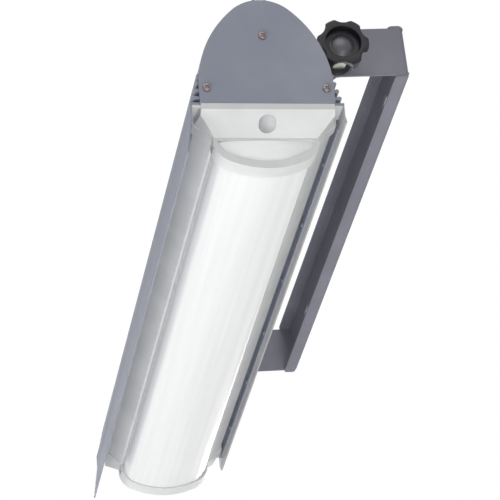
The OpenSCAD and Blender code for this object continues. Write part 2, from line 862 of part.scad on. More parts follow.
// Rear part of the cap, which fills the space beside the legs and stands just proud of the skirts
module cap_shoulders() {
    w = leg_in - cap_shoulder_gap;
    low = skirt_half_w + cap_shoulder_proud;
    along_y(cap_shoulder_y, cap_len) polygon([
        [-w, 0], [-w, -cap_shoulder_h], [-low, -skirt_h], [low, -skirt_h], [w, -cap_shoulder_h], [w, 0]
    ]);
}

// Frame on the middle of the cap's sloping face, its z axis pointing out of the face
module on_cap_face() {
    translate([0, cap_slope_len / 2, -(cap_band_h + skirt_h) / 2])
        rotate([180 - cap_slope_a, 0, 0]) children();
}

// Blind oval bowl in the cap's face
module cap_recess() {
    straight = recess_len - recess_w;
    bowl_r = (pow(recess_w / 2, 2) + pow(recess_depth, 2)) / (2 * recess_depth);
    on_cap_face() translate([0, 0, bowl_r - recess_depth]) {
        for (end = [-1, 1]) translate([0, end * straight / 2, 0]) sphere(r = bowl_r, $fn = arc_fine);
        rotate([90, 0, 0]) cylinder(r = bowl_r, h = straight, center = true, $fn = arc_fine);
    }
}

// Window in the cap's ring, drawn smaller by the given gap, its upper corners rounded
module window_2d(gap = 0) {
    w = window_half_w - gap;
    top = -skirt_h - collar_proud - gap;
    r = window_top_r;
    difference() {
        trough_2d(w, top, window_h - gap, window_r - gap, window_corner_r - gap);
        for (side = [0, 1]) mirror([side, 0]) translate([w - r, top - r]) difference() {
            square(r + over);
            circle(r = r, $fn = arc_fine);
        }
    }
}

module end_cap() {
    pocket_y = cap_slope_len + cap_wall;
    color("#cfd0d0") on_head() translate([0, -lamp_half, 0]) difference() {
        cap_body();
        along_y(pocket_y, cap_len + over) trough_2d(diffuser_half_w + seat_gap, diffuser_top_z + seat_gap,
            diffuser_h + seat_gap, diffuser_r + seat_gap, diffuser_corner_r + seat_gap);
        along_y(cap_slope_len - over, pocket_y + over) window_2d();
        cap_recess();
        for (side = [-1, 1])
            translate([side * (skirt_half_w + cap_shoulder_proud),
                       (cap_slope_len + cap_wall + cap_len) / 2, -skirt_h - latch_h / 2])
                rotate([0, side * 45, 0]) cube([latch_h, cap_len - cap_slope_len - 2 * cap_wall, latch_w],
                                               center = true);
        cap_cavity();
    }
}

// Hollow above the diffuser pocket, open towards the tray
module cap_cavity() {
    translate([-tray_half_w + 2 * tray_t, cap_slope_len + cap_wall, diffuser_top_z])
        cube([2 * (tray_half_w - 2 * tray_t), cap_len, -diffuser_top_z - tray_t]);
}

module diffuser() {
    half = tray_len / 2 + cap_len - cap_slope_len - cap_wall - diffuser_end_t - seat_gap - 2 * collar_proud;
    color("#f4f5f5") on_head() along_y(-half, half) difference() {
        trough_2d(diffuser_half_w, diffuser_top_z, diffuser_h, diffuser_r, diffuser_corner_r);
        trough_2d(diffuser_half_w - diffuser_t, diffuser_top_z + over, diffuser_h - diffuser_t,
                  diffuser_r - diffuser_t, diffuser_corner_r - diffuser_t);
    }
}

// Opal end of the diffuser, a flange behind the cap's window and a crowned face in it
module diffuser_end() {
    y0 = cap_slope_len + cap_wall + seat_gap;
    back = y0 + diffuser_end_t + 2 * collar_proud;
    mid_z = -(skirt_h + window_h) / 2;
    color("#f4f5f5") on_head() translate([0, -lamp_half, 0]) difference() {
        union() {
            along_y(y0, back) trough_2d(diffuser_half_w, diffuser_top_z, diffuser_h, diffuser_r,
                                        diffuser_corner_r);
            intersection() {
                along_y(cap_slope_len, y0 + diffuser_end_t / 2) window_2d(seat_gap);
                translate([0, cap_slope_len + seat_gap + dome_r, mid_z]) sphere(r = dome_r, $fn = 2 * arc_fine);
            }
        }
        along_y(y0 + diffuser_end_t, back + over) trough_2d(diffuser_half_w - diffuser_t,
            diffuser_top_z + over, diffuser_h - diffuser_t, diffuser_r - diffuser_t,
            diffuser_corner_r - diffuser_t);
    }
}

// Visors

module visor_2d(depth, flare) {
    x = rail_half_w;
    polygon([
        [x, -seat_gap], [x, -leg_h], [x + flare, -depth], [x + flare - visor_t, -depth],
        [x - visor_t, -leg_h], [x - visor_t, -seat_gap]
    ]);
}

module visor(depth, flare, front) {
    color("#9b9fac") on_head() mirror([front ? 1 : 0, 0, 0]) difference() {
        along_y(-lamp_half + visor_inset, lamp_half - visor_inset) visor_2d(depth, flare);
        rivet_shanks(rivet_d + 2 * run_play, over);
    }
}

module rivet_shanks(d, extra) {
    for (i = [0:rivet_count - 1])
        translate([leg_in - extra, rivet_y(i), rivet_z]) rotate([0, 90, 0])
            cylinder(d = d, h = leg_t + visor_t + 2 * extra, $fn = arc_fine / 2);
}

function rivet_y(i) = tray_len * ((i + 0.5) / rivet_count - 0.5);

module visor_rivets(front) {
    color("#9b9fac") on_head() mirror([front ? 1 : 0, 0, 0]) {
        rivet_shanks(rivet_d, 0);
        for (i = [0:rivet_count - 1])
            translate([leg_in - rivet_head_h, rivet_y(i), rivet_z]) rotate([0, 90, 0])
                cylinder(d = rivet_head_d, h = rivet_head_h, $fn = arc_fine / 2);
    }
}

// Light source and gear

module small_screw_holes(spots, z0, h) {
    for (p = spots) translate([p[0], p[1], z0 - over])
        cylinder(d = small_screw_d + 2 * run_play, h = h + 2 * over, $fn = arc_fine / 2);
}

module small_screws(spots, z, up) {
    for (p = spots) translate([p[0], p[1], z]) mirror([0, 0, up ? 0 : 1]) {
        cylinder(d = small_screw_head_d, h = small_screw_head_h, $fn = arc_fine / 2);
        translate([0, 0, -tray_t]) cylinder(d = small_screw_d, h = tray_t, $fn = arc_fine / 2);
    }
}

function driver_screw_spots() = [
    for (side = [-1, 1]) [0, driver_y + side * (driver_len / 2 + driver_lug_len / 2)]
];

function board_y(far) = (far ? 1 : -1) * (board_len + board_gap) / 2;

function board_screw_spots() = [
    for (far = [false, true], end = [-1, 1]) [0, board_y(far) + end * (board_len / 2 - board_gap)]
];

module gear_plate() {
    color("#d9dadb") on_head() difference() {
        translate([0, 0, tray_floor_z + gear_plate_t / 2])
            cube([gear_plate_w, tray_len - 4 * board_gap, gear_plate_t], center = true);
        small_screw_holes(driver_screw_spots(), tray_floor_z, gear_plate_t);
        small_screw_holes(board_screw_spots(), tray_floor_z, gear_plate_t);
    }
}

module led_driver() {
    z0 = tray_floor_z + gear_plate_t;
    color("#e6e6e3") on_head() difference() {
        union() {
            along_y(driver_y - driver_len / 2, driver_y + driver_len / 2) {
                translate([-driver_w / 2, z0]) square([driver_w, driver_h - driver_corner]);
                translate([-driver_w / 2 + driver_corner, z0])
                    square([driver_w - 2 * driver_corner, driver_h]);
                for (side = [-1, 1])
                    translate([side * (driver_w / 2 - driver_corner), z0 + driver_h - driver_corner])
                        circle(r = driver_corner, $fn = arc_fine / 2);
            }
            translate([0, driver_y, z0 + driver_lug_t / 2])
                cube([driver_w / 2, driver_len + 2 * driver_lug_len, driver_lug_t], center = true);
        }
        small_screw_holes(driver_screw_spots(), z0, driver_lug_t);
    }
}

module driver_screws() {
    z = tray_floor_z + gear_plate_t + driver_lug_t;
    color("#c4c6c2") on_head() for (p = driver_screw_spots()) translate([p[0], p[1], z]) {
        cylinder(d = small_screw_head_d, h = small_screw_head_h, $fn = arc_fine / 2);
        translate([0, 0, -driver_lug_t - gear_plate_t])
            cylinder(d = small_screw_d, h = driver_lug_t + gear_plate_t, $fn = arc_fine / 2);
    }
}

module terminal_block() {
    z0 = tray_floor_z + gear_plate_t;
    way = terminal_len / terminal_ways;
    color("#eceae4") on_head() translate([0, terminal_y, z0]) difference() {
        translate([-terminal_w / 2, -terminal_len / 2, 0]) cube([terminal_w, terminal_len, terminal_h]);
        for (i = [0:terminal_ways - 1], side = [-1, 1])
            translate([0, (i + 0.5) * way - terminal_len / 2, 0]) {
                translate([side * terminal_w / 4, 0, terminal_h / 2])
                    cylinder(d = way / 2, h = terminal_h, $fn = arc_fine / 2);
                translate([side * terminal_w / 2, 0, terminal_h / 4]) rotate([0, 90, 0])
                    cylinder(d = way / 2, h = terminal_w / 4, center = true, $fn = arc_fine / 2);
            }
        for (i = [1:terminal_ways - 1])
            translate([-terminal_w, i * way - terminal_len / 2 - seat_gap, terminal_h / 2])
                cube([2 * terminal_w, 2 * seat_gap, terminal_h]);
    }
}

module led_board(far) {
    z1 = tray_floor_z - tray_t;
    color("#f2f3ee") on_head() difference() {
        translate([-board_w / 2, board_y(far) - board_len / 2, z1 - board_t])
            cube([board_w, board_len, board_t]);
        small_screw_holes(board_screw_spots(), z1 - board_t, board_t);
    }
}

module emitters(far) {
    z1 = tray_floor_z - tray_t - board_t;
    pitch = board_len / emitter_count;
    color("#f0d860") on_head() for (i = [0:emitter_count - 1], side = [-1, 1])
        translate([side * board_w * emitter_row_share, board_y(far) + pitch * (i - (emitter_count - 1) / 2),
                   z1 - emitter_h / 2])
            cube([emitter, emitter, emitter_h], center = true);
}

module board_screws() {
    z = tray_floor_z - tray_t - board_t;
    color("#c4c6c2") on_head() for (p = board_screw_spots()) translate([p[0], p[1], z]) {
        translate([0, 0, -small_screw_head_h])
            cylinder(d = small_screw_head_d, h = small_screw_head_h, $fn = arc_fine / 2);
        cylinder(d = small_screw_d, h = board_t + tray_t + gear_plate_t, $fn = arc_fine / 2);
    }
}

// Cable gland in the far end plate

module gland_place() {
    on_head() translate([0, lamp_half, gland_z]) children();
}

module cable_gland() {
    color("#2c2d30") gland_place() difference() {
        union() {
            rod_y(gland_d, 0, 0, -plate_t - gland_thread_in, over);
            along_y(0, gland_hex_len) circle(d = gland_af / cos(30), $fn = 6);
            rod_y(gland_d - 2 * gasket_t, 0, 0, 0, gland_hex_len + gland_neck_len);
        }
        rod_y(gland_bore, 0, 0, -gland_thread_in - plate_t - over, gland_hex_len + gland_neck_len + over);
    }
}

module gland_seal() {
    y0 = gland_hex_len + gland_neck_len;
    y1 = gland_hex_len + seat_gap + gland_nut_len - gland_nut_len / 4;
    color("#1d1e20") gland_place() difference() {
        rod_y(gland_d - 3 * gasket_t, 0, 0, y0, y1);
        rod_y(gland_bore - 2 * gasket_t, 0, 0, y0 - over, y0 + gland_nut_len / 2);
    }
}

module gland_nut() {
    y0 = gland_hex_len + seat_gap;
    top = y0 + gland_nut_len;
    color("#2c2d30") gland_place() difference() {
        union() {
            rod_y(gland_nut_d, 0, 0, y0, top - gland_nut_len / 3);
            translate([0, top - gland_nut_len / 3, 0]) rotate([-90, 0, 0])
                cylinder(d1 = gland_nut_d, d2 = gland_d - 3 * gasket_t, h = gland_nut_len / 3, $fn = arc_fine);
            along_y(y0, y0 + gland_nut_len / 2) circle(d = gland_af / cos(30), $fn = 6);
        }
        rod_y(gland_d - 2 * gasket_t + 2 * run_play, 0, 0, y0 - over, top - gland_nut_len / 4);
        rod_y(gland_bore, 0, 0, y0, top + over);
    }
}

module gland_locknut() {
    y1 = -plate_t;
    color("#2c2d30") gland_place() difference() {
        along_y(y1 - gland_lock_t, y1) circle(d = (gland_af + 2 * gasket_t) / cos(30), $fn = 6);
        rod_y(gland_d + 2 * run_play, 0, 0, y1 - gland_lock_t - over, y1 + over);
    }
}

wall_bracket();
at_end(false) outer_washer();  // near_outer_washer
at_end(true) outer_washer();  // far_outer_washer
at_end(false) knob();  // near_knob
at_end(false) hex_spacer();  // near_hex_spacer
at_end(false) clamp_stud();  // near_clamp_stud
at_end(true) knob();  // far_knob
at_end(true) hex_spacer();  // far_hex_spacer
at_end(true) clamp_stud();  // far_clamp_stud
housing_extrusion();
at_end(false) end_gasket();  // near_end_gasket
at_end(true) end_gasket();  // far_end_gasket
at_end(false) end_plate(false);  // near_end_plate
at_end(true) end_plate(true);  // far_end_plate
at_end(false) plate_screws();  // near_plate_screws
at_end(true) plate_screws();  // far_plate_screws
at_end(false) pivot_lug();  // near_pivot_lug
at_end(true) pivot_lug();  // far_pivot_lug
at_end(false) inner_washer();  // near_inner_washer
at_end(true) inner_washer();  // far_inner_washer
at_end(false) lug_screws();  // near_lug_screws
at_end(true) lug_screws();  // far_lug_screws
at_end(false) slide_nut();  // near_slide_nut
at_end(true) slide_nut();  // far_slide_nut
tray();
tray_gasket();
tray_screws();
at_end(false) end_cap();  // near_end_cap
at_end(true) end_cap();  // far_end_cap
diffuser();
at_end(false) diffuser_end();  // near_diffuser_end
at_end(true) diffuser_end();  // far_diffuser_end
visor(front_visor_h, front_visor_flare, true);  // front_visor
visor(rear_visor_h, rear_visor_flare, false);  // rear_visor
visor_rivets(true);  // front_visor_rivets
visor_rivets(false);  // rear_visor_rivets
gear_plate();
led_driver();
driver_screws();
terminal_block();
led_board(false);  // near_led_board
led_board(true);  // far_led_board
emitters(false);  // near_emitters
emitters(true);  // far_emitters
board_screws();
cable_gland();
gland_nut();
gland_seal();
gland_locknut();
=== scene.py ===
"""Looks of a linear outdoor wall light: finned housing, opal diffuser, visors and clamped wall bracket.

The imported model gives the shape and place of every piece. This file dresses each piece in the finish
of the real one, builds the moulded knobs and turned spacers in finer shape, and sets up the studio.
Lengths are in metres, or in millimetres where a name ends in _mm, in the part's own frame: the wall
plane at x = 0, the lamp along y and z up.
"""

import logging
import math
from dataclasses import dataclass, field
from enum import Enum
from typing import Any, Iterable, Sequence

import bmesh
import bpy
from mathutils import Matrix, Vector


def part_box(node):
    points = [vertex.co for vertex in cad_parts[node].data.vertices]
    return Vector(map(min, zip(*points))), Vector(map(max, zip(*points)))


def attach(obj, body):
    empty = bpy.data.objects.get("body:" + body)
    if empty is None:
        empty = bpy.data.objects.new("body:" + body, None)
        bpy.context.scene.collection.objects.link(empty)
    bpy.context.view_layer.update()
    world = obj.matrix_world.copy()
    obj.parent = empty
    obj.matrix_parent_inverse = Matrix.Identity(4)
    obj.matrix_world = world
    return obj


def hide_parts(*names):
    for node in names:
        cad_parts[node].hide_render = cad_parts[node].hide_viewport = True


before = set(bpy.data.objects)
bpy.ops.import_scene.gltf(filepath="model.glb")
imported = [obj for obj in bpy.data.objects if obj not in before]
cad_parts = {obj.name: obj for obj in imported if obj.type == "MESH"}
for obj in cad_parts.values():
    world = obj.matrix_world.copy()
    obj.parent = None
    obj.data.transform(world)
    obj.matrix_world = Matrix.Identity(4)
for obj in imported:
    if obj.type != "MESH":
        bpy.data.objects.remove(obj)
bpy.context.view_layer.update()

LOG = logging.getLogger("wall_light")
MM = 0.001
# Noise seldom leaves the wide span, and spends most of its area in the narrow one.
WIDE_SPAN = (0.3, 0.7)
NARROW_SPAN = (0.35, 0.65)
# At a scale of one, a wave texture draws this many half waves in a metre, a brick texture this many rows.
HALF_WAVES = 6.3
BRICK_ROWS = 4


class End(Enum):
    """The two ends of the lamp, by the sign of y."""

    NEAR = -1
    FAR = 1

    @property
    def prefix(self) -> str:
        """Start of the names of the pieces at this end."""
        return "near_" if self is End.NEAR else "far_"


class Body(Enum):
    """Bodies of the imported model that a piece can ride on."""

    BRACKET = "bracket"
    HEAD = "head"
    NEAR_KNOB = "near_knob"
    FAR_KNOB = "far_knob"


def linear(hex_colour: str) -> tuple[float, float, float, float]:
    """Turns an sRGB hex colour into the linear colour that shaders take.

    Args:
        hex_colour: Six hex digits after a hash sign.

    Returns:
        Linear red, green, blue and an alpha of one.
    """
    parts = [int(hex_colour[i:i + 2], 16) / 255 for i in (1, 3, 5)]
    red, green, blue = [c / 12.92 if c <= 0.04045 else ((c + 0.055) / 1.055) ** 2.4 for c in parts]
    return red, green, blue, 1.0


def per_mm(size_mm: float) -> float:
    """Gives a texture scale whose features are about a given size.

    Args:
        size_mm: Real size of one feature in millimetres.

    Returns:
        Features per metre.
    """
    return 1.0 / (size_mm * MM)


def add(tree: bpy.types.NodeTree, kind: str, inputs: dict[Any, Any] | None = None,
        **settings: Any) -> bpy.types.Node:
    """Adds one shader node with its settings and links.

    Args:
        tree: Node tree that takes the node.
        kind: Blender's type name of the node.
        inputs: Socket name or number, with a value or the output socket that feeds it.
        settings: Properties of the node itself.

    Returns:
        The new node.
    """
    node = tree.nodes.new(kind)
    for key, value in settings.items():
        setattr(node, key, value)
    for key, value in (inputs or {}).items():
        if isinstance(value, bpy.types.NodeSocket):
            tree.links.new(value, node.inputs[key])
        else:
            node.inputs[key].default_value = value
    return node


def ramp(tree: bpy.types.NodeTree, factor: bpy.types.NodeSocket, span: tuple[float, float],
         *colours: str) -> bpy.types.NodeSocket:
    """Spreads colours evenly over a span of a factor.

    Args:
        tree: Node tree that takes the ramp.
        factor: Socket with the value to map.
        span: Values of the factor that get the first and the last colour.
        colours: Two or three hex colours.

    Returns:
        The colour output.
    """
    node = add(tree, "ShaderNodeValToRGB", {"Fac": factor})
    elements = node.color_ramp.elements
    while len(elements) < len(colours):
        elements.new(sum(span) / 2)
    step = (span[1] - span[0]) / (len(colours) - 1)
    for i, (element, colour) in enumerate(zip(elements, colours)):
        element.position = span[0] + step * i
        element.color = linear(colour)
    return node.outputs["Color"]


def start_material(name: str, inputs: dict[str, Any]
                   ) -> tuple[bpy.types.Material, bpy.types.NodeTree, bpy.types.Node]:
    """Makes a material with one Principled shader on its output.

    Args:
        name: Name of the material.
        inputs: Plain values for the shader's sockets.

    Returns:
        The material, its node tree and the shader node.
    """
    material = bpy.data.materials.new(name)
    material.use_nodes = True
    tree = material.node_tree
    tree.nodes.clear()
    shader = add(tree, "ShaderNodeBsdfPrincipled", inputs)
    add(tree, "ShaderNodeOutputMaterial", {"Surface": shader.outputs["BSDF"]})
    return material, tree, shader


def wander(tree: bpy.types.NodeTree, shader: bpy.types.Node, factor: bpy.types.NodeSocket,
           span: tuple[float, float], roughness: tuple[float, float]) -> None:
    """Lets a shader's roughness wander with a pattern.

    Args:
        tree: Node tree that takes the nodes.
        shader: Shader whose roughness wanders.
        factor: Socket with the pattern.
        span: Values of the pattern that get the first and the last roughness.
        roughness: Roughness at both ends of the span.
    """
    gloss = add(tree, "ShaderNodeMapRange", {
        "Value": factor, "From Min": span[0], "From Max": span[1],
        "To Min": roughness[0], "To Max": roughness[1]})
    tree.links.new(gloss.outputs["Result"], shader.inputs["Roughness"])


def emboss(tree: bpy.types.NodeTree, shader: bpy.types.Node, height: bpy.types.NodeSocket,
           strength: float, height_mm: float) -> None:
    """Raises a pattern on a shader's surface.

    Args:
        tree: Node tree that takes the nodes.
        shader: Shader whose surface is embossed.
        height: Socket with the pattern.
        strength: How much of the relief shows.
        height_mm: Height of the relief in millimetres.
    """
    bump = add(tree, "ShaderNodeBump", {
        "Height": height, "Strength": strength, "Distance": height_mm * MM})
    tree.links.new(bump.outputs["Normal"], shader.inputs["Normal"])


@dataclass(frozen=True)
class PowderCoat:
    """Polyester powder coat, sprayed and baked on metal: an even colour with a fine orange peel."""

    name: str
    shade: str
    light: str
    dark: str
    peel_mm: float = 1.1
    peel_height_mm: float = 0.15
    peel_strength: float = 0.10
    cloud_mm: float = 60.0
    roughness: float = 0.42
    smoother: float = 0.05
    rougher: float = 0.06
    specular: float = 0.5
    # Lighter corners, by pointiness span and strength: rubbed wear plus a painted edge highlight.
    corner_span: tuple[float, float] = (0.52, 0.60)
    corner_wear_and_highlight: float = 0.35

    def build(self) -> bpy.types.Material:
        """Makes the material.

        Returns:
            The finished material.
        """
        material, tree, shader = start_material(self.name, {
            "IOR": 1.5, "Metallic": 0.0, "Specular IOR Level": self.specular})
        place = add(tree, "ShaderNodeTexCoord").outputs["Object"]
        # The coat's thickness drifts slowly over the sheet, which shows as faint clouds of colour.
        cloud = add(tree, "ShaderNodeTexNoise", {
            "Vector": place, "Scale": per_mm(self.cloud_mm), "Detail": 3.0, "Roughness": 0.5})
        tint = ramp(tree, cloud.outputs["Fac"], WIDE_SPAN, self.dark, self.shade, self.light)
        # Powder grains melt to a pebbled skin, about one bump per millimetre.
        peel = add(tree, "ShaderNodeTexNoise", {
            "Vector": place, "Scale": per_mm(self.peel_mm), "Detail": 2.0, "Roughness": 0.45})
        # Corners are painted lighter: partly rubbed wear from handling, partly a painted highlight where
        # edges catch the light.
        edge = add(tree, "ShaderNodeNewGeometry").outputs["Pointiness"]
        wear_and_edge_highlight = add(tree, "ShaderNodeMapRange", {
            "Value": edge, "From Min": self.corner_span[0], "From Max": self.corner_span[1],
            "To Min": 0.0, "To Max": self.corner_wear_and_highlight})
        colour = add(tree, "ShaderNodeMix", {
            "Factor": wear_and_edge_highlight.outputs["Result"], "A": tint, "B": linear(self.light)},
            data_type="RGBA")
        tree.links.new(colour.outputs["Result"], shader.inputs["Base Color"])
        wander(tree, shader, cloud.outputs["Fac"], WIDE_SPAN,
               (self.roughness - self.smoother, self.roughness + self.rougher))
        emboss(tree, shader, peel.outputs["Fac"], self.peel_strength, self.peel_height_mm)
        return material


@dataclass(frozen=True)
class MouldedPlastic:
    """Injection-moulded thermoplastic with the fine spark-eroded grain of its tool."""

    name: str
    shade: str
    light: str
    grain_mm: float = 0.6
    grain_height_mm: float = 0.1
    grain_strength: float = 0.12
    flow_mm: float = 35.0
    roughness: float = 0.45
    smoother: float = 0.04
    rougher: float = 0.05
    specular: float = 0.5
    translucency: float = 0.0
    scatter_mm: float = 2.0

    def build(self) -> bpy.types.Material:
        """Makes the material.

        Returns:
            The finished material.
        """
        material, tree, shader = start_material(self.name, {
            "IOR": 1.49, "Metallic": 0.0, "Specular IOR Level": self.specular,
            "Subsurface Weight": self.translucency,
            "Subsurface Radius": (1.0, 0.95, 0.9), "Subsurface Scale": self.scatter_mm * MM})
        place = add(tree, "ShaderNodeTexCoord").outputs["Object"]
        # The melt cools unevenly, so tone and gloss wander over a few centimetres.
        flow = add(tree, "ShaderNodeTexNoise", {
            "Vector": place, "Scale": per_mm(self.flow_mm), "Detail": 2.0, "Roughness": 0.4})
        tree.links.new(ramp(tree, flow.outputs["Fac"], NARROW_SPAN, self.shade, self.light),
                       shader.inputs["Base Color"])
        wander(tree, shader, flow.outputs["Fac"], WIDE_SPAN,
               (self.roughness - self.smoother, self.roughness + self.rougher))
        # Real erosion grain is about a tenth of a millimetre; it is drawn coarser so that it shows.
        grain = add(tree, "ShaderNodeTexVoronoi", {
            "Vector": place, "Scale": per_mm(self.grain_mm), "Randomness": 1.0}, feature="SMOOTH_F1")
        emboss(tree, shader, grain.outputs["Distance"], self.grain_strength, self.grain_height_mm)
        return material


@dataclass(frozen=True)
class OpalAcrylic:
    """Extruded opal acrylic: milky all through, glossy outside, with faint die lines along its length."""

    name: str
    shade: str
    light: str
    line_mm: float = 7.0
    line_height_mm: float = 0.2
    line_strength: float = 0.06
    stretch: float = 0.02
    scatter_mm: float = 4.0
    roughness: float = 0.16
    rougher: float = 0.1

    def build(self) -> bpy.types.Material:
        """Makes the material.

        Returns:
            The finished material.
        """
        material, tree, shader = start_material(self.name, {
            "IOR": 1.49, "Subsurface Weight": 0.35, "Subsurface Radius": (1.0, 1.0, 1.0),
            "Subsurface Scale": self.scatter_mm * MM, "Coat Weight": 0.3, "Coat Roughness": 0.08})
        place = add(tree, "ShaderNodeTexCoord").outputs["Object"]
        # Stretching the pattern along y turns the noise into the lines that the die leaves.
        drawn = add(tree, "ShaderNodeMapping", {"Vector": place, "Scale": (1.0, self.stretch, 1.0)})
        lines = add(tree, "ShaderNodeTexNoise", {
            "Vector": drawn.outputs["Vector"], "Scale": per_mm(self.line_mm), "Detail": 2.0})
        tree.links.new(ramp(tree, lines.outputs["Fac"], WIDE_SPAN, self.shade, self.light),
                       shader.inputs["Base Color"])
        wander(tree, shader, lines.outputs["Fac"], (0.0, 1.0),
               (self.roughness, self.roughness + self.rougher))
        emboss(tree, shader, lines.outputs["Fac"], self.line_strength, self.line_height_mm)
        return material


@dataclass(frozen=True)
class PlatedSteel:
    """Turned steel under bright zinc or left stainless: tool rings under a thin, slightly cloudy skin."""

    name: str
    shade: str
    light: str
    cloud_mm: float = 5.0
    ring_mm: float = 0.5
    ring_height_mm: float = 0.05
    ring_strength: float = 0.12
    roughness: float = 0.3
    smoother: float = 0.06
    rougher: float = 0.1

    def build(self) -> bpy.types.Material:
        """Makes the material.

        Returns:
            The finished material.
        """
        material, tree, shader = start_material(self.name, {"Metallic": 1.0})
        place = add(tree, "ShaderNodeTexCoord").outputs["Object"]
        # The plating bath leaves cloudy patches of a few millimetres.
        cloud = add(tree, "ShaderNodeTexNoise", {
            "Vector": place, "Scale": per_mm(self.cloud_mm), "Detail": 4.0})
        tree.links.new(ramp(tree, cloud.outputs["Fac"], NARROW_SPAN, self.shade, self.light),
                       shader.inputs["Base Color"])
        wander(tree, shader, cloud.outputs["Fac"], WIDE_SPAN,
               (self.roughness - self.smoother, self.roughness + self.rougher))
        # Feed marks of the lathe run round the axis, which lies along y. Real ones are a few times
        # finer than these, which are drawn wide enough to show.
        rings = add(tree, "ShaderNodeTexWave", {
            "Vector": place, "Scale": per_mm(self.ring_mm) / HALF_WAVES, "Distortion": 1.5, "Detail": 1.0},
            wave_type="BANDS", bands_direction="Y")
        emboss(tree, shader, rings.outputs["Fac"], self.ring_strength, self.ring_height_mm)
        return material


@dataclass(frozen=True)
class Laminate:
    """Circuit board laminate under white solder mask, with faint copper tracks showing through."""

    name: str
    shade: str
    light: str
    track_mm: float = 6.0

    def build(self) -> bpy.types.Material:
        """Makes the material.

        Returns:
            The finished material.
        """
        material, tree, shader = start_material(self.name, {"IOR": 1.5, "Roughness": 0.35})
        place = add(tree, "ShaderNodeTexCoord").outputs["Object"]
        # Tracks under the mask show as faint lines a few millimetres apart.
        track = add(tree, "ShaderNodeTexBrick", {
            "Vector": place, "Scale": per_mm(self.track_mm) / BRICK_ROWS, "Color1": linear(self.light),
            "Color2": linear(self.light), "Mortar": linear(self.shade), "Mortar Size": 0.02})
        tree.links.new(track.outputs["Color"], shader.inputs["Base Color"])
        return material


class Finishes:
    """All finishes of the lamp, each made once and handed to the pieces that wear it."""

    def __init__(self) -> None:
        """Makes every material."""
        # Folded steel in a coarse, dead matt coat, which hardly shines even at a low angle.
        self.bracket = PowderCoat("bracket_powder_coat", "#92929d", "#9a9aa5", "#8b8b95",
                                  roughness=0.7, specular=0.02).build()
        # Sheet aluminium in the housing's blue-grey, coated thinly, so it has a soft sheen.
        self.visor = PowderCoat("visor_powder_coat", "#9ca0ad", "#a6aab6", "#9599ab",
                                roughness=0.6, specular=0.12).build()
        # The visor on the wall side is in a smoother coat, painted a paler neutral grey that stands in for
        # the diffuser's white light thrown onto it.
        self.diffuser_lit_visor = PowderCoat("diffuser_lit_coat", "#a5a5a8", "#afafb2", "#9c9ca0").build()
        # Extruded aluminium in satin blue-grey, calm enough that the fins read by their shade.
        self.housing = PowderCoat("housing_powder_coat", "#9498a5", "#9ea2ae", "#8d91a3",
                                  roughness=0.52, specular=0.25).build()
        # Cast lugs in a darker grey of the same coat, with its usual half gloss.
        self.lug = PowderCoat("lug_powder_coat", "#82838d", "#8c8d97", "#7a7b85").build()
        # White coated sheet inside the lamp, which sends stray light down to the diffuser.
        self.gear_steel = PowderCoat("white_powder_coat", "#dfe0e0", "#e8e9e9", "#d6d7d7").build()
        # Light grey polycarbonate, moulded, into which a little light sinks.
        self.tray = MouldedPlastic("grey_polycarbonate", "#d9dada", "#e0e1e1", translucency=0.1).build()
        # The same plastic off a coarsely eroded insert, which dulls the thumb bowls; their darker grey is
        # painted shade in the hollow.
        self.bowl = MouldedPlastic("grained_shaded_polycarbonate", "#c2c3c4", "#c9cacb", grain_mm=0.9,
                                   grain_strength=0.3, roughness=0.6, specular=0.3).build()
        # Opal acrylic of the trough, milky and glossy, and a whiter copy of it behind the windows, which
        # paints in the brighter light on the diffuser's ends.
        self.opal = OpalAcrylic("opal_acrylic", "#f1f2f2", "#f7f8f8").build()
        self.window = OpalAcrylic("opal_window_painted_light", "#f9fafa", "#fcfdfd").build()
        # Glass-filled polyamide of the knobs, moulded and grained, so its black looks soft.
        self.knob = MouldedPlastic("black_polyamide", "#1a1a1e", "#222227", grain_mm=0.7,
                                   grain_strength=0.3, roughness=0.40, specular=0.3).build()
        # The knobs' domes come off a finer tool face, so they are glossier; their lighter grey is a painted
        # sheen of the sky.
        self.knob_dome_sheen = MouldedPlastic("satin_polyamide_painted_sheen", "#3a3a42", "#42424a", grain_mm=0.7,
                                       grain_strength=0.15, roughness=0.38, specular=0.9).build()
        # Moulded acetal of the friction washers and the gland: black with a slight sheen.
        self.washer = MouldedPlastic("black_acetal", "#1f1f21", "#29292b", roughness=0.4).build()
        # Moulded silicone of the gaskets, dull and soft.
        self.rubber = MouldedPlastic("black_silicone", "#1c1c1d", "#242425", roughness=0.7).build()
        # Natural white polyamide of the driver's case and the terminals.
        self.white_plastic = MouldedPlastic("white_polyamide", "#e4e3dd", "#ecebe6").build()
        # Turned steel under bright zinc, and the spacers' bar steel under a duller plating.
        self.zinc = PlatedSteel("bright_zinc", "#b4b6b2", "#cfd0cc").build()
        self.spacer = PlatedSteel("dull_zinc", "#bcc0b6", "#d2d5cb", roughness=0.5).build()
        # Cold-headed stainless screws, darker and warmer than zinc.
        self.stainless = PlatedSteel("stainless_steel", "#6e6567", "#8a8082", roughness=0.4).build()
        # White solder mask on glass laminate, and the yellow phosphor resin of the emitters on it.
        self.board = Laminate("white_solder_mask", "#d8dad4", "#f0f1ec").build()
        self.phosphor = MouldedPlastic("phosphor_resin", "#e8cf62", "#f2dc78", roughness=0.3).build()


